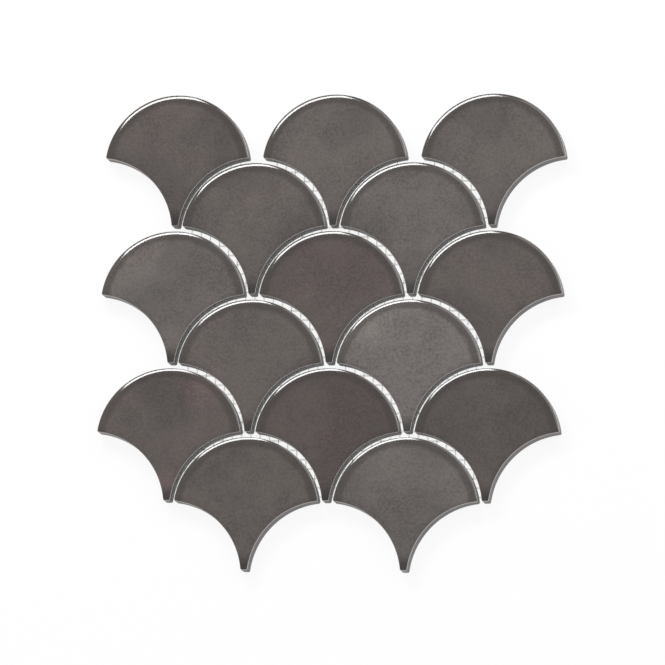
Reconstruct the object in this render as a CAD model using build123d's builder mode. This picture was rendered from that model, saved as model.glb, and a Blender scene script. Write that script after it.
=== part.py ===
from build123d import *
import math
import os

os.makedirs("parts", exist_ok=True)

# Sizes in millimetres. X runs across the rows, Y from the points to the round heads, Z out of the face.

# one chip: a round head, two hollow sides that fit the heads below, and a cut-off point
chip_thickness = 10.0
head_radius = 39.0
hollow_radius = 41.05
hollow_center_x = 42.7
hollow_center_y = -36.1
point_cut_y = -32.0
wing_corner_radius = 0.9
point_corner_bevel = 0.5
face_edge_bevel = 0.7

# the pattern of the sheet
column_pitch = 85.3
row_pitch = 36.95
row_names = ["row1", "row2", "row3", "row4", "row5", "row6"]
wide_row = {"left": -1.0, "middle": 0.0, "right": 1.0}
narrow_row = {"left": -0.5, "right": 0.5}

# the glass-fibre net that the chips are glued to
thread_pitch = 5.0
thread_width = 1.0
thread_thickness = 0.2
net_inset = 2.0
joint_reach = 2.2
shortest_thread = 8.0

chip_foot = 2 * thread_thickness
sheet_top = head_radius
sheet_bottom = point_cut_y - (len(row_names) - 1) * row_pitch
sheet_center_y = (sheet_top + sheet_bottom) / 2
half_size = max(column_pitch + head_radius, sheet_top - sheet_center_y)

chips = []
for row_index, row_name in enumerate(row_names):
    columns = wide_row if row_index % 2 == 0 else narrow_row
    for side_name, column in columns.items():
        chip_x = column * column_pitch
        chip_y = -row_index * row_pitch - sheet_center_y
        chips.append((row_name, side_name, chip_x, chip_y))


# One chip, with the centre of its head arc on the Z axis.
with BuildPart() as chip:
    with BuildSketch(Plane.XY.offset(chip_foot)) as chip_outline:
        Circle(head_radius)
        with Locations((-hollow_center_x, hollow_center_y), (hollow_center_x, hollow_center_y)):
            Circle(hollow_radius, mode=Mode.SUBTRACT)
        with Locations((0, point_cut_y)):
            Rectangle(column_pitch, row_pitch, align=(Align.CENTER, Align.MAX), mode=Mode.SUBTRACT)
        chamfer(chip_outline.vertices().group_by(Axis.Y)[0], point_corner_bevel)
        fillet(chip_outline.vertices().group_by(Axis.Y)[-1], wing_corner_radius)
    extrude(amount=chip_thickness)
    face_edges = chip.faces().sort_by(Axis.Z)[-1].edges()
    chamfer(face_edges, face_edge_bevel)

for row_name, side_name, chip_x, chip_y in chips:
    with BuildPart() as tile:
        with Locations((chip_x, chip_y, 0)):
            add(chip.part)
    node_name = "tile_" + row_name + "_" + side_name
    tile.part.label = node_name
    export_step(tile.part, "parts/" + node_name + ".step")


# Where a straight line crosses the chips, each grown by the given margin, as (start, end, chip's number).
def spans_under_chips(line_at, lengthwise, margin):
    head = head_radius + margin
    hollow = hollow_radius - margin
    point = point_cut_y - margin
    spans = []
    for chip_number, (_, _, chip_x, chip_y) in enumerate(chips):
        offset = line_at - (chip_x if lengthwise else chip_y)
        if abs(offset) >= head or (not lengthwise and offset < point):
            continue
        half_chord = math.sqrt(head**2 - offset**2)
        low = max(-half_chord, point) if lengthwise else -half_chord
        stretches = [(low, half_chord)]
        for side in (-1, 1):
            hollow_x = side * hollow_center_x
            hollow_across = offset - (hollow_x if lengthwise else hollow_center_y)
            hollow_along = hollow_center_y if lengthwise else hollow_x
            if abs(hollow_across) >= hollow:
                continue
            reach = math.sqrt(hollow**2 - hollow_across**2)
            before = [(start, min(end, hollow_along - reach)) for start, end in stretches]
            after = [(max(start, hollow_along + reach), end) for start, end in stretches]
            stretches = [(start, end) for start, end in before + after if end > start]
        chip_along = chip_y if lengthwise else chip_x
        spans += [(chip_along + start, chip_along + end, chip_number) for start, end in stretches]
    return sorted(spans)


# A thread crosses the joint between two chips and stops short of the sheet's free edges.
def thread_runs(line_at, lengthwise):
    near = spans_under_chips(line_at, lengthwise, joint_reach)
    merged = []
    last_chip = None
    for start, end, chip_number in spans_under_chips(line_at, lengthwise, 0):
        if merged and chip_number != last_chip:
            gap_middle = (merged[-1][1] + start) / 2
            reached = {number for low, high, number in near if low <= gap_middle <= high}
            joined = {last_chip, chip_number} <= reached
        else:
            joined = False
        if joined:
            merged[-1] = (merged[-1][0], end)
        else:
            merged.append((start, end))
        last_chip = chip_number
    covered = spans_under_chips(line_at, lengthwise, -net_inset)
    runs = []
    for low, high in merged:
        inside = [span for span in covered if low <= span[0] and span[1] <= high]
        if inside and inside[-1][1] - inside[0][0] > shortest_thread:
            runs.append((inside[0][0], max(span[1] for span in inside)))
    return runs


thread_count = 2 * math.ceil(half_size / thread_pitch)
thread_lines = [(index + 0.5) * thread_pitch for index in range(-thread_count // 2, thread_count // 2)]

with BuildPart() as net_weft_threads:
    with BuildSketch():
        for line_y in thread_lines:
            for start, end in thread_runs(line_y, lengthwise=False):
                with Locations(((start + end) / 2, line_y)):
                    Rectangle(end - start, thread_width)
    extrude(amount=thread_thickness)
net_weft_threads.part.label = "net_weft_threads"
export_step(net_weft_threads.part, "parts/net_weft_threads.step")

with BuildPart() as net_warp_threads:
    with BuildSketch(Plane.XY.offset(thread_thickness)):
        for line_x in thread_lines:
            for start, end in thread_runs(line_x, lengthwise=True):
                with Locations((line_x, (start + end) / 2)):
                    Rectangle(thread_width, end - start)
    extrude(amount=thread_thickness)
net_warp_threads.part.label = "net_warp_threads"
export_step(net_warp_threads.part, "parts/net_warp_threads.step")
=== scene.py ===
import bpy
import bmesh
import math
from mathutils import Matrix, Vector


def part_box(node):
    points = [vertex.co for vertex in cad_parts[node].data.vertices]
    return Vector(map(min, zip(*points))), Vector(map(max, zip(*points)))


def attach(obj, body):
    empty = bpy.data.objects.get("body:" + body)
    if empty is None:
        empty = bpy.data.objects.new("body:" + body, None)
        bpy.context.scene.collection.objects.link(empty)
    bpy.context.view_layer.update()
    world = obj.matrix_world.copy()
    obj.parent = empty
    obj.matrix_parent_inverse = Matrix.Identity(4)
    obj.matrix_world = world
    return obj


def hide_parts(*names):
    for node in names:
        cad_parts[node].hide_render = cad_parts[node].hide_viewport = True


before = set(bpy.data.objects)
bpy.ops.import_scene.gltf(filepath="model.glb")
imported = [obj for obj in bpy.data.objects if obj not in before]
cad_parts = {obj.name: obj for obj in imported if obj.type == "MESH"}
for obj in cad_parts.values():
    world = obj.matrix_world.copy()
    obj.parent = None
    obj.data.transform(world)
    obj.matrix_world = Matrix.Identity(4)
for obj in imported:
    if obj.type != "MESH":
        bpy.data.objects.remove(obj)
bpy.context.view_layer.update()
mm = 0.001
print("frame loaded:", len(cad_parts), "nodes")


# helpers for node trees

def addNode(tree, kind, inputs=None, **settings):
    node = tree.nodes.new(kind)
    for key, value in settings.items():
        setattr(node, key, value)
    for key, value in (inputs or {}).items():
        if isinstance(value, bpy.types.NodeSocket):
            tree.links.new(value, node.inputs[key])
        else:
            node.inputs[key].default_value = value
    return node


def calc(tree, operation, first, second=None, third=None):
    values = {index: value for index, value in enumerate((first, second, third)) if value is not None}
    return addNode(tree, "ShaderNodeMath", values, operation=operation).outputs[0]


def fade(tree, value, low, high):  # 0 at low, 1 at high, smooth between
    ends = {"Value": value, "From Min": low, "From Max": high}
    return addNode(tree, "ShaderNodeMapRange", ends, interpolation_type="SMOOTHSTEP").outputs["Result"]


def mixColor(tree, factor, first, second, blend="MIX"):
    node = addNode(tree, "ShaderNodeMix", data_type="RGBA", blend_type=blend)
    for name, value in (("Factor_Float", factor), ("A_Color", first), ("B_Color", second)):
        socket = next(item for item in node.inputs if item.identifier == name)
        if isinstance(value, bpy.types.NodeSocket):
            tree.links.new(value, socket)
        else:
            socket.default_value = value
    return next(item for item in node.outputs if item.identifier == "Result_Color")


def newMaterial(name):
    material = bpy.data.materials.new(name)
    material.use_nodes = True
    tree = material.node_tree
    tree.nodes.clear()
    shader = addNode(tree, "ShaderNodeBsdfPrincipled")
    output = addNode(tree, "ShaderNodeOutputMaterial")
    tree.links.new(shader.outputs["BSDF"], output.inputs["Surface"])
    return material, tree, shader


def newGeometryTree(name, sizes):  # takes a geometry, its sizes as numbers, and a material
    tree = bpy.data.node_groups.new(name, "GeometryNodeTree")
    tree.interface.new_socket("Geometry", in_out="INPUT", socket_type="NodeSocketGeometry")
    tree.interface.new_socket("Geometry", in_out="OUTPUT", socket_type="NodeSocketGeometry")
    for label in sizes:
        tree.interface.new_socket(label, in_out="INPUT", socket_type="NodeSocketFloat")
    tree.interface.new_socket("Material", in_out="INPUT", socket_type="NodeSocketMaterial")
    return tree, tree.nodes.new("NodeGroupInput"), tree.nodes.new("NodeGroupOutput")


def runTree(name, baseMesh, tree, values):  # gives the tree's result as a plain mesh object
    holder = bpy.data.objects.new(name + "Base", baseMesh)
    bpy.context.scene.collection.objects.link(holder)
    modifier = holder.modifiers.new("nodes", "NODES")
    modifier.node_group = tree
    sockets = {item.name: item.identifier for item in tree.interface.items_tree if item.in_out == "INPUT"}
    for label, value in values.items():
        modifier[sockets[label]] = value
    depsgraph = bpy.context.evaluated_depsgraph_get()
    mesh = bpy.data.meshes.new_from_object(holder.evaluated_get(depsgraph), depsgraph=depsgraph)
    bpy.data.objects.remove(holder)
    mesh.name = name
    piece = bpy.data.objects.new(name, mesh)
    bpy.context.scene.collection.objects.link(piece)
    return piece


# one fan chip, in millimetres from the centre of its head arc
chip = {
    "headRadius": 39.0,
    "hollowRadius": 41.05,
    "hollowCenter": (42.7, -36.1),
    "pointCut": -32.0,
    "cornerRadius": 0.9,
    "footHeight": 0.4,
    "faceHeight": 10.4,
    "footRound": 0.25,
    "arrisRadius": 0.35,
    "cushionRadius": 8.0,
    "rimSlope": 24.0,
    "cornerEase": 1.2,
    "outlineStep": 0.8,
    "fewestSteps": 6,
    "footRings": 3,
    "wallRings": 5,
    "arrisRings": 4,
    "faceRings": 30,
    "faceMiddle": (0.0, 8.0),
}


def centerBetween(centerA, radiusA, centerB, radiusB):  # the upper crossing of two circles
    between = centerB - centerA
    distance = between.length
    along = (radiusA ** 2 - radiusB ** 2 + distance ** 2) / (2 * distance)
    across = math.sqrt(radiusA ** 2 - along ** 2)
    unit = between / distance
    return centerA + unit * along + Vector((-unit.y, unit.x)) * across


def arcPoints(center, radius, start, end, outward):
    count = max(chip["fewestSteps"], round(abs(end - start) * radius / chip["outlineStep"]))
    points = []
    for index in range(count + 1):
        angle = start + (end - start) * index / count
        ray = Vector((math.cos(angle), math.sin(angle)))
        points.append((center + ray * radius, ray * outward))
    return points


def chipOutline():  # points and outward normals, counter-clockwise from the middle of the point
    corner = chip["cornerRadius"]
    hollow = Vector(chip["hollowCenter"])
    hollowRadius = chip["hollowRadius"]
    wing = centerBetween(Vector((0, 0)), chip["headRadius"] - corner, hollow, hollowRadius + corner)
    tipY = chip["pointCut"] + corner
    tip = Vector((hollow.x - math.sqrt((hollowRadius + corner) ** 2 - (tipY - hollow.y) ** 2), tipY))
    toTip, toWing = tip - hollow, wing - hollow
    tipAngle = math.atan2(toTip.y, toTip.x)
    wingAngle = math.atan2(toWing.y, toWing.x)
    wingTurn = math.atan2(wing.y, wing.x)
    right = [(Vector((0, chip["pointCut"])), Vector((0, -1)))]
    right += arcPoints(tip, corner, -math.pi / 2, tipAngle - math.pi, 1)
    right += arcPoints(hollow, hollowRadius, tipAngle, wingAngle, -1)[1:]
    right += arcPoints(wing, corner, wingAngle - math.pi, wingTurn, 1)[1:]
    right += arcPoints(Vector((0, 0)), chip["headRadius"], wingTurn, math.pi / 2, 1)[1:]
    left = [(Vector((-point.x, point.y)), Vector((-normal.x, normal.y))) for point, normal in right]
    return right + left[-2:0:-1]


# how far a point of the face lies inside the outline, with a cubic ease where two sides meet
def rimDistance(x, y):
    hollowX, hollowY = chip["hollowCenter"]
    nearest = chip["headRadius"] - math.hypot(x, y)
    others = [math.hypot(x - side * hollowX, y - hollowY) - chip["hollowRadius"] for side in (-1, 1)]
    others.append(y - chip["pointCut"])
    ease = chip["cornerEase"]
    for other in others:
        overlap = max(ease - abs(nearest - other), 0.0) / ease
        nearest = min(nearest, other) - overlap ** 3 * ease / 6
    return nearest


# the wall's top, the inset where the cushion starts, and the height at a distance inside the outline
def faceProfile():
    arris, cushion, slope = chip["arrisRadius"], chip["cushionRadius"], math.radians(chip["rimSlope"])
    rimInset = arris * (1 - math.sin(slope))
    wallTop = chip["faceHeight"] - cushion * (1 - math.cos(slope)) - arris * math.cos(slope)

    def heightAt(inside):
        if inside < rimInset:
            return wallTop + math.sqrt(arris ** 2 - (arris - inside) ** 2)
        lean = max(math.sin(slope) - (inside - rimInset) / cushion, 0.0)
        return chip["faceHeight"] - cushion * (1 - math.sqrt(1 - lean ** 2))

    return wallTop, rimInset, heightAt


def chipMesh():
    outline = chipOutline()
    count = len(outline)
    middle = Vector(chip["faceMiddle"])
    wallTop, rimInset, heightAt = faceProfile()
    foot, footRound = chip["footHeight"], chip["footRound"]
    rings = []  # inset and height of each ring, from the underside up to the face
    for index in range(chip["footRings"] + 1):
        angle = math.pi / 2 * index / chip["footRings"]
        rings.append((footRound * (1 - math.sin(angle)), foot + footRound * (1 - math.cos(angle))))
    for index in range(1, chip["wallRings"]):
        rings.append((0.0, foot + footRound + (wallTop - foot - footRound) * index / chip["wallRings"]))
    for index in range(chip["arrisRings"] + 1):
        angle = math.radians(90 - chip["rimSlope"]) * index / chip["arrisRings"]
        inset = chip["arrisRadius"] * (1 - math.cos(angle))
        rings.append((inset, wallTop + chip["arrisRadius"] * math.sin(angle)))
    points, rimDistances = [Vector((middle.x, middle.y, foot))], [0.0]
    for inset, height in rings:
        for point, normal in outline:
            points.append(Vector((*(point - normal * inset), height)))
            rimDistances.append(inset if height > wallTop else 0.0)
    for index in range(1, chip["faceRings"]):
        pull = (index / chip["faceRings"]) ** 2  # rings lie closest together at the rim
        for point, normal in outline:
            spot = (point - normal * rimInset).lerp(middle, pull)
            inside = max(rimDistance(spot.x, spot.y), rimInset)
            points.append(Vector((spot.x, spot.y, heightAt(inside))))
            rimDistances.append(inside)
    points.append(Vector((middle.x, middle.y, chip["faceHeight"])))
    rimDistances.append(rimDistance(middle.x, middle.y))
    ringCount = len(rings) + chip["faceRings"] - 1
    top = len(points) - 1
    faces = []
    for side in range(count):
        after = (side + 1) % count
        faces.append((0, 1 + after, 1 + side))
        for ring in range(ringCount - 1):
            low, high = 1 + ring * count, 1 + (ring + 1) * count
            faces.append((low + side, low + after, high + after, high + side))
        last = 1 + (ringCount - 1) * count
        faces.append((last + side, last + after, top))
    headDistances = [chip["headRadius"] - math.hypot(point.x, point.y) for point in points]
    pointDistances = [point.y - chip["pointCut"] for point in points]
    return points, faces, {
        "rimDistance": rimDistances, "headDistance": headDistances, "pointDistance": pointDistances}


# the glaze: lengths in millimetres; a pattern is its noise's scale, detail and roughness, and the ends of
# its fade; a wander is its noise's scale and its span; a band is where a coat starts and where it is full
glaze = {
    "color": (0.115, 0.0995, 0.092, 1.0),
    "grainColor": (0.165, 0.146, 0.134, 1.0),
    "cloudColor": (0.046, 0.040, 0.036, 1.0),
    # a darker band just inside the head's edge
    "headRimDarkColor": (0.030, 0.025, 0.021, 1.0),
    # the light line over the arris: thin glaze, and partly a painted highlight
    "thinGlazeAndHighlightColor": (0.70, 0.65, 0.62, 1.0),
    "wallColor": (0.074, 0.059, 0.062, 1.0),
    "bisqueColor": (0.62, 0.56, 0.48, 1.0),
    "bisqueShade": (0.5, 0.44, 0.37, 1.0),
    "thickTint": (0.50, 0.50, 0.53, 1.0),
    "paleTint": (1.5, 1.52, 1.54, 1.0),
    "deepTint": (0.56, 0.48, 0.47, 1.0),
    "blushTint": (1.40, 1.22, 1.28, 1.0),
    # darker towards the point
    "pointDarkTint": (0.30, 0.31, 0.30, 1.0),
    "clouds": (58.0, 5.0, 0.7, 0.38, 0.66),  # soft mottling, centimetres across
    "grain": (750.0, 4.0, 0.75, 0.38, 0.62),  # fine grain of the fired glaze
    "thick": (24.0, 1.5, 0.5, 0.42, 0.60),  # broad patches of thicker glaze
    "blush": (30.0, 2.0, 0.5, 0.42, 0.62),
    "cloudShare": 0.5,
    "grainShare": 0.6,
    "thickShare": 0.45,
    "headRimDarkShare": 0.60,
    "arrisShare": 0.8,
    "headRimDarkBand": (6.2, 3.2),
    "headRimDarkWander": (110.0, 3.0),
    "pointDarkBand": (10.0, 2.0),
    "wallBand": (0.15, 0.05),
    "dullBand": (0.20, 0.05),
    "arrisBand": (0.26, 0.12),
    "arrisFade": 0.2,
    "bareBand": (1.0, 0.85),
    "bareWander": (300.0, 0.8),
    "biscuitGrain": (700.0, 4.0),
    "roughness": 0.08,
    "cloudRoughness": 0.04,
    "wallRoughness": 0.26,
    "bareRoughness": 0.75,
    "bareGrain": (2600.0, 4.0),
    "bareRelief": 0.3,
    "bareReliefShare": 0.5,
    "ior": 1.7,
    "reliefHeight": 0.015,
    "reliefSize": 9.0,
    "reliefBand": (0.4, 3.0),
    "seedStep": 3.7,
    # how far each chip fires pale or deep, and how much it blushes: rows from the top, chips from the left
    "tones": {
        "row1": (-0.6, -0.28, -0.26), "row2": (-0.4, -0.05), "row3": (0.03, -0.7, -0.56),
        "row4": (-0.43, 0.9), "row5": (-0.67, -0.9, -0.65), "row6": (-0.57, 0.08),
    },
    "blushes": {
        "row1": (0.1, 0.1, 0.1), "row2": (0.1, 0.1), "row3": (0.2, 0.55, 0.1),
        "row4": (0.2, 0.1), "row5": (1.0, 0.5, 0.1), "row6": (0.1, 0.1),
    },
}


def glazeMaterial():
    material, tree, shader = newMaterial("glazedChip")
    place = addNode(tree, "ShaderNodeTexCoord").outputs["Object"]
    height = addNode(tree, "ShaderNodeSeparateXYZ", {"Vector": place}).outputs["Z"]
    rim, fromHead, fromPoint, tone, blushShare = [
        addNode(tree, "ShaderNodeAttribute", attribute_name=name).outputs["Fac"]
        for name in ("rimDistance", "headDistance", "pointDistance", "tone", "blush")]

    def noise(scale, detail, rough=0.5):
        values = {"Vector": place, "Scale": scale, "Detail": detail, "Roughness": rough}
        return addNode(tree, "ShaderNodeTexNoise", values).outputs["Fac"]

    def pattern(name):
        scale, detail, rough, low, high = glaze[name]
        return fade(tree, noise(scale, detail, rough), low, high)

    def wander(name):  # a noisy length to either side of nothing
        scale, span = glaze[name]
        return calc(tree, "MULTIPLY_ADD", noise(scale, 3.0), span * mm, -span * mm / 2)

    def band(length, name):
        low, high = glaze[name]
        return fade(tree, length, low * mm, high * mm)

    def lay(body, mask, share, coat, blend="MIX"):  # a coat over the body, as far as mask times share
        return mixColor(tree, calc(tree, "MULTIPLY", mask, share), body, glaze[coat], blend)

    clouds = pattern("clouds")
    body = lay(glaze["color"], clouds, glaze["cloudShare"], "cloudColor")
    body = lay(body, pattern("grain"), glaze["grainShare"], "grainColor")
    body = lay(body, pattern("thick"), glaze["thickShare"], "thickTint", "MULTIPLY")

    # some chips fire paler, some deeper, and a few blush in patches
    pale = calc(tree, "MAXIMUM", tone, 0.0)
    deep = calc(tree, "MAXIMUM", calc(tree, "MULTIPLY", tone, -1.0), 0.0)
    body = mixColor(tree, pale, body, glaze["paleTint"], "MULTIPLY")
    body = mixColor(tree, deep, body, glaze["deepTint"], "MULTIPLY")
    body = lay(body, pattern("blush"), blushShare, "blushTint", "MULTIPLY")

    # darker in a band just inside the head's edge and towards the point; the glaze runs thin on the walls
    # and thinnest over the arris, where the light line is thin glaze and partly a painted highlight
    inside = calc(tree, "ADD", fromHead, wander("headRimDarkWander"))
    body = lay(body, band(inside, "headRimDarkBand"), glaze["headRimDarkShare"], "headRimDarkColor")
    body = mixColor(tree, band(fromPoint, "pointDarkBand"), body, glaze["pointDarkTint"], "MULTIPLY")
    body = mixColor(tree, band(rim, "wallBand"), body, glaze["wallColor"])
    # a light line over the arris: thin glaze, and partly a painted highlight
    arrisFoot = (faceProfile()[0] - chip["footHeight"]) * mm
    above = fade(tree, height, arrisFoot - glaze["arrisFade"] * mm, arrisFoot)
    edge = calc(tree, "MULTIPLY", band(rim, "arrisBand"), above)
    body = lay(body, edge, glaze["arrisShare"], "thinGlazeAndHighlightColor")

    # bare biscuit at the foot and on the back
    bare = band(calc(tree, "ADD", height, wander("bareWander")), "bareBand")
    biscuit = mixColor(tree, noise(*glaze["biscuitGrain"]), glaze["bisqueColor"], glaze["bisqueShade"])
    body = mixColor(tree, bare, body, biscuit)
    tree.links.new(body, shader.inputs["Base Color"])
    polish = calc(tree, "MULTIPLY_ADD", clouds, glaze["cloudRoughness"], glaze["roughness"])
    dull = calc(tree, "MULTIPLY", band(rim, "dullBand"), glaze["wallRoughness"])
    dull = calc(tree, "MAXIMUM", dull, calc(tree, "MULTIPLY", bare, glaze["bareRoughness"]))
    tree.links.new(calc(tree, "ADD", polish, dull), shader.inputs["Roughness"])
    shader.inputs["IOR"].default_value = glaze["ior"]
    coarse = addNode(tree, "ShaderNodeBump", {
        "Height": noise(*glaze["bareGrain"]), "Distance": glaze["bareRelief"] * mm,
        "Strength": calc(tree, "MULTIPLY", bare, glaze["bareReliefShare"])})
    tree.links.new(coarse.outputs["Normal"], shader.inputs["Normal"])
    return material


# lets the face wander a little, as glaze does, and stores the chip's tone and blush
def firedChipTree():
    sizes = ("Relief Height", "Relief Size", "Seed", "Tone", "Blush")
    tree, start, end = newGeometryTree("firedChip", sizes)
    position = addNode(tree, "GeometryNodeInputPosition").outputs[0]
    rim = addNode(tree, "GeometryNodeInputNamedAttribute", {"Name": "rimDistance"}, data_type="FLOAT")
    scale = calc(tree, "DIVIDE", 1.0, start.outputs["Relief Size"])
    noise = addNode(tree, "ShaderNodeTexNoise", {
        "Vector": position, "W": start.outputs["Seed"], "Scale": scale, "Detail": 1.0,
    }, noise_dimensions="4D")
    wave = calc(tree, "MULTIPLY_ADD", noise.outputs["Fac"], 2.0, -1.0)
    rimFrom, rimTo = glaze["reliefBand"]
    mask = fade(tree, rim.outputs["Attribute"], rimFrom * mm, rimTo * mm)
    lift = calc(tree, "MULTIPLY", calc(tree, "MULTIPLY", wave, mask), start.outputs["Relief Height"])
    # the whole face sinks by the height of the relief, so that no crest passes the chip's real thickness
    down = calc(tree, "SUBTRACT", lift, calc(tree, "MULTIPLY", mask, start.outputs["Relief Height"]))
    offset = addNode(tree, "ShaderNodeCombineXYZ", {"Z": down}).outputs[0]
    stored = addNode(tree, "GeometryNodeSetPosition", {
        "Geometry": start.outputs["Geometry"], "Offset": offset})
    for name in ("Tone", "Blush"):
        stored = addNode(tree, "GeometryNodeStoreNamedAttribute", {
            "Geometry": stored.outputs["Geometry"], "Name": name.lower(), "Value": start.outputs[name],
        }, data_type="FLOAT")
    real = addNode(tree, "GeometryNodeRealizeInstances", {"Geometry": stored.outputs["Geometry"]})
    dressed = addNode(tree, "GeometryNodeSetMaterial", {
        "Geometry": real.outputs["Geometry"], "Material": start.outputs["Material"]})
    tree.links.new(dressed.outputs["Geometry"], end.inputs["Geometry"])
    return tree


def makeChips():
    points, faces, measures = chipMesh()
    material, tree = glazeMaterial(), firedChipTree()
    seed = 0
    for node in sorted(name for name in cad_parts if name.startswith("tile_")):
        low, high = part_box(node)
        place = Vector(((low.x + high.x) / 2, high.y - chip["headRadius"] * mm, 0))
        _, row, side = node.split("_")
        tones, blushes = glaze["tones"][row], glaze["blushes"][row]
        column = {"left": 0, "middle": 1, "right": len(tones) - 1}[side]
        mesh = bpy.data.meshes.new(node + "Mesh")
        mesh.from_pydata([point * mm + place for point in points], [], faces)
        for name, values in measures.items():
            stored = mesh.attributes.new(name, "FLOAT", "POINT")
            stored.data.foreach_set("value", [value * mm for value in values])
        mesh.polygons.foreach_set("use_smooth", [True] * len(faces))
        seed += 1
        piece = runTree(row + side.capitalize() + "Chip", mesh, tree, {
            "Relief Height": glaze["reliefHeight"] * mm, "Relief Size": glaze["reliefSize"] * mm,
            "Seed": seed * glaze["seedStep"], "Tone": tones[column], "Blush": blushes[column],
            "Material": material})
        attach(piece, "root")
        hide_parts(node)
    print("chips fired:", seed)


makeChips()


# the glass-fibre net: flat weft bands, and pairs of finer warp strands that cross between them
net = {
    "pitch": 5.0,
    "step": 1.25,
    "sides": 6,
    "sway": 0.04,
    "swayScale": 90.0,
    "filament": 0.16,
    "filamentShare": 0.2,
    "filamentRelief": 0.04,
    "filamentReliefShare": 0.5,
    "blotches": (420.0, 3.0),
    "shadeFade": (0.35, 0.85),
    "weft": {"width": 0.92, "thickness": 0.19, "height": 0.1, "strands": 1, "twist": 0.0},
    "warp": {"width": 0.42, "thickness": 0.1, "height": 0.3, "strands": 2, "twist": 0.24},
    "color": (0.95, 0.95, 0.94, 1.0),
    "shadeColor": (0.84, 0.84, 0.83, 1.0),
    "translucence": 0.86,
    "roughness": 0.3,
    "ior": 1.06,
}


def netMaterial(name, lengthwise):
    material, tree, shader = newMaterial(name)
    place = addNode(tree, "ShaderNodeTexCoord").outputs["Object"]
    axes = addNode(tree, "ShaderNodeSeparateXYZ", {"Vector": place})
    across = axes.outputs["X" if lengthwise else "Y"]
    filaments = calc(tree, "SINE", calc(tree, "MULTIPLY", across, 2 * math.pi / (net["filament"] * mm)))
    scale, detail = net["blotches"]
    blotches = addNode(tree, "ShaderNodeTexNoise", {"Vector": place, "Scale": scale, "Detail": detail})
    shade = calc(tree, "MULTIPLY_ADD", filaments, net["filamentShare"], blotches.outputs["Fac"])
    color = mixColor(tree, fade(tree, shade, *net["shadeFade"]), net["shadeColor"], net["color"])
    tree.links.new(color, shader.inputs["Base Color"])
    shader.inputs["Roughness"].default_value = net["roughness"]
    shader.inputs["IOR"].default_value = net["ior"]
    shader.inputs["Transmission Weight"].default_value = net["translucence"]
    bump = addNode(tree, "ShaderNodeBump", {
        "Height": shade, "Strength": net["filamentReliefShare"], "Distance": net["filamentRelief"] * mm})
    tree.links.new(bump.outputs["Normal"], shader.inputs["Normal"])
    return material


# one band, or two strands that swing from side to side and cross, along every thread's line
def netTree():
    sizes = ("Width", "Thickness", "Pitch", "Twist", "Sway", "Lengthwise", "Strands")
    tree, start, end = newGeometryTree("netThreads", sizes)
    width, thickness, pitch, twist, sway, lengthwise, strands = [start.outputs[name] for name in sizes]
    crosswise = calc(tree, "SUBTRACT", 1.0, lengthwise)
    line = addNode(tree, "GeometryNodeMeshToCurve", {"Mesh": start.outputs["Geometry"]}).outputs["Curve"]
    ring = addNode(tree, "GeometryNodeCurvePrimitiveCircle", {"Resolution": net["sides"], "Radius": 0.5})
    size = addNode(tree, "ShaderNodeCombineXYZ", {"X": width, "Y": thickness, "Z": 1.0}).outputs[0]
    flat = addNode(tree, "GeometryNodeTransform", {"Geometry": ring.outputs["Curve"], "Scale": size})
    position = addNode(tree, "GeometryNodeInputPosition").outputs[0]
    axes = addNode(tree, "ShaderNodeSeparateXYZ", {"Vector": position})
    along = calc(tree, "ADD", calc(tree, "MULTIPLY", axes.outputs["Y"], lengthwise),
                 calc(tree, "MULTIPLY", axes.outputs["X"], crosswise))
    turn = calc(tree, "COSINE", calc(tree, "MULTIPLY", calc(tree, "DIVIDE", along, pitch), math.pi))
    noise = addNode(tree, "ShaderNodeTexNoise", {
        "Vector": position, "Scale": net["swayScale"], "Detail": 1.0})
    wave = calc(tree, "MULTIPLY_ADD", noise.outputs["Fac"], 2.0, -1.0)
    stray = calc(tree, "MULTIPLY", wave, sway)
    join = addNode(tree, "GeometryNodeJoinGeometry")
    for strand, side in ((0, 1.0), (1, -1.0)):
        swing = calc(tree, "MULTIPLY", calc(tree, "MULTIPLY", turn, side), twist)
        aside = calc(tree, "ADD", swing, stray)
        level = calc(tree, "MULTIPLY", calc(tree, "SUBTRACT", strands, 1.0),
                     calc(tree, "MULTIPLY", thickness, 0.5 * side))
        offset = addNode(tree, "ShaderNodeCombineXYZ", {
            "X": calc(tree, "MULTIPLY", aside, lengthwise),
            "Y": calc(tree, "MULTIPLY", aside, crosswise),
            "Z": level}).outputs[0]
        moved = addNode(tree, "GeometryNodeSetPosition", {"Geometry": line, "Offset": offset})
        upright = addNode(tree, "GeometryNodeSetCurveNormal", {
            "Curve": moved.outputs["Geometry"]}, mode="Z_UP")
        band = addNode(tree, "GeometryNodeCurveToMesh", {
            "Curve": upright.outputs["Curve"], "Profile Curve": flat.outputs["Geometry"],
            "Fill Caps": True})
        unwanted = calc(tree, "SUBTRACT", 1.0, calc(tree, "GREATER_THAN", strands, strand + 0.5))
        kept = addNode(tree, "GeometryNodeDeleteGeometry", {
            "Geometry": band.outputs["Mesh"], "Selection": unwanted}, domain="POINT")
        tree.links.new(kept.outputs["Geometry"], join.inputs["Geometry"])
    real = addNode(tree, "GeometryNodeRealizeInstances", {"Geometry": join.outputs["Geometry"]})
    soft = addNode(tree, "GeometryNodeSetShadeSmooth", {"Geometry": real.outputs["Geometry"]})
    dressed = addNode(tree, "GeometryNodeSetMaterial", {
        "Geometry": soft.outputs["Geometry"], "Material": start.outputs["Material"]})
    tree.links.new(dressed.outputs["Geometry"], end.inputs["Geometry"])
    return tree


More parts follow.
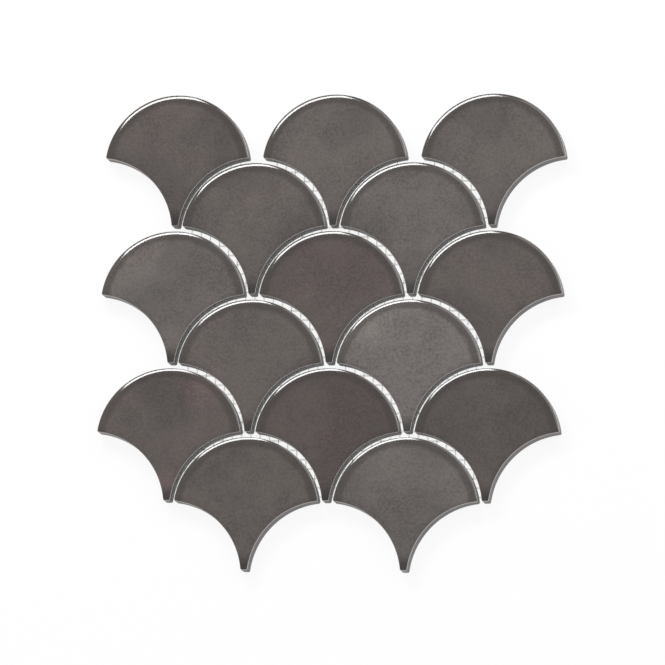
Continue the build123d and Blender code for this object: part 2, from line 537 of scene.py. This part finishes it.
def threadRuns(node, lengthwise):  # the two ends of every thread, read from the frame
    shape = bmesh.new()
    shape.from_mesh(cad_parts[node].data)
    bmesh.ops.remove_doubles(shape, verts=shape.verts, dist=1e-6)
    left, runs = set(shape.verts), []
    while left:
        island, edge = set(), {next(iter(left))}
        while edge:
            island |= edge
            edge = {link.other_vert(vert) for vert in edge for link in vert.link_edges} - island
        left -= island
        xs = [vert.co.x for vert in island]
        ys = [vert.co.y for vert in island]
        middle = ((min(xs) + max(xs)) / 2, (min(ys) + max(ys)) / 2)
        if lengthwise:
            runs.append(((middle[0], min(ys)), (middle[0], max(ys))))
        else:
            runs.append(((min(xs), middle[1]), (max(xs), middle[1])))
    shape.free()
    return sorted(runs)


def makeNet():
    tree = netTree()
    for node, kind, lengthwise in (("net_weft_threads", "weft", False), ("net_warp_threads", "warp", True)):
        thread = net[kind]
        points, edges = [], []
        for (x0, y0), (x1, y1) in threadRuns(node, lengthwise):
            steps = max(2, round(math.hypot(x1 - x0, y1 - y0) / (net["step"] * mm)))
            for index in range(steps + 1):
                share = index / steps
                points.append((x0 + (x1 - x0) * share, y0 + (y1 - y0) * share, thread["height"] * mm))
                if index:
                    edges.append((len(points) - 2, len(points) - 1))
        mesh = bpy.data.meshes.new(kind + "Lines")
        mesh.from_pydata(points, edges, [])
        piece = runTree(kind + "Threads", mesh, tree, {
            "Width": thread["width"] * mm, "Thickness": thread["thickness"] * mm,
            "Pitch": net["pitch"] * mm, "Twist": thread["twist"] * mm, "Sway": net["sway"] * mm,
            "Lengthwise": float(lengthwise), "Strands": float(thread["strands"]),
            "Material": netMaterial(kind + "Glass", lengthwise)})
        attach(piece, "root")
        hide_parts(node)
        print("net", kind, "triangles:", sum(len(face.vertices) - 2 for face in piece.data.polygons))


makeNet()


# white floor, plain studio light, camera
studio = {
    "floorSize": 6.0,
    "floorColor": (0.95, 0.95, 0.95, 1.0),
    "floorGlow": 0.90,
    "floorMirror": 0.5,
    "worldStrength": 0.54,
    "softboxes": {
        "keySoftbox": {"power": 15.8, "size": (0.92, 0.34), "around": 116.5, "rise": 45.0, "away": 1.6},
        "fillSoftbox": {"power": 4.6, "size": (1.5, 0.70), "around": 45.0, "rise": 45.0, "away": 1.6},
    },
}

camera = {
    "distance": 4.0,
    "lens": 408.2,
    "tilt": 13.5,
    "heading": -45.0,
    "roll": 1.55,
    "aim": (0.7, 0.0, 5.0),
    "sensor": 36.0,
    "clipEnd": 50.0,
}


def makeFloor():
    half = studio["floorSize"] / 2
    mesh = bpy.data.meshes.new("floorPlane")
    corners = [(-half, -half, 0), (half, -half, 0), (half, half, 0), (-half, half, 0)]
    mesh.from_pydata(corners, [], [(0, 1, 2, 3)])
    floor = bpy.data.objects.new("floorPlane", mesh)
    bpy.context.scene.collection.objects.link(floor)
    material = bpy.data.materials.new("whiteFloor")
    material.use_nodes = True
    tree = material.node_tree
    tree.nodes.clear()
    diffuse = addNode(tree, "ShaderNodeBsdfDiffuse", {"Color": studio["floorColor"]}).outputs[0]
    glow = addNode(tree, "ShaderNodeEmission", {"Color": (1, 1, 1, 1), "Strength": 1.0}).outputs[0]
    path = addNode(tree, "ShaderNodeLightPath").outputs
    # white to the camera, through the net and, by half, in the glaze's mirror; it still takes the shadow
    direct = calc(tree, "MAXIMUM", path["Is Camera Ray"], path["Is Transmission Ray"])
    mirrored = calc(tree, "MULTIPLY", path["Is Glossy Ray"], studio["floorMirror"])
    seen = calc(tree, "MAXIMUM", direct, mirrored)
    share = calc(tree, "MULTIPLY", seen, studio["floorGlow"])
    mixed = addNode(tree, "ShaderNodeMixShader", {0: share, 1: diffuse, 2: glow}).outputs[0]
    output = addNode(tree, "ShaderNodeOutputMaterial")
    tree.links.new(mixed, output.inputs["Surface"])
    mesh.materials.append(material)


def makeLight():
    world = bpy.data.worlds.new("studioWorld")
    world.use_nodes = True
    background = world.node_tree.nodes["Background"]
    background.inputs["Color"].default_value = (1, 1, 1, 1)
    background.inputs["Strength"].default_value = studio["worldStrength"]
    bpy.context.scene.world = world
    for name, box in studio["softboxes"].items():
        lamp = bpy.data.lights.new(name, "AREA")
        lamp.shape = "RECTANGLE"
        lamp.size, lamp.size_y = box["size"]
        lamp.energy = box["power"]
        softbox = bpy.data.objects.new(name, lamp)
        around, rise = math.radians(box["around"]), math.radians(box["rise"])
        level = math.cos(rise)
        ray = Vector((math.cos(around) * level, math.sin(around) * level, math.sin(rise)))
        softbox.location = ray * box["away"]
        softbox.rotation_euler = (-ray).to_track_quat("-Z", "Y").to_euler()
        bpy.context.scene.collection.objects.link(softbox)


def makeCamera():
    lens = bpy.data.cameras.new("photoCamera")
    lens.lens = camera["lens"]
    lens.sensor_width = camera["sensor"]
    lens.clip_end = camera["clipEnd"]
    eye = bpy.data.objects.new("photoCamera", lens)
    tilt, heading = math.radians(camera["tilt"]), math.radians(camera["heading"])
    away = Vector((math.sin(tilt) * math.cos(heading), math.sin(tilt) * math.sin(heading), math.cos(tilt)))
    upward = Vector((0, 1, 0)) - away * away.y
    upward.normalize()
    upward = Matrix.Rotation(math.radians(camera["roll"]), 3, away) @ upward
    sideways = upward.cross(away)
    turn = Matrix((sideways, upward, away)).transposed()
    spot = Vector(camera["aim"]) * mm + away * camera["distance"]
    eye.matrix_world = Matrix.Translation(spot) @ turn.to_4x4()
    bpy.context.scene.collection.objects.link(eye)
    bpy.context.scene.camera = eye


makeFloor()
makeLight()
makeCamera()
bpy.context.scene.view_settings.view_transform = "Standard"
print("studio ready")
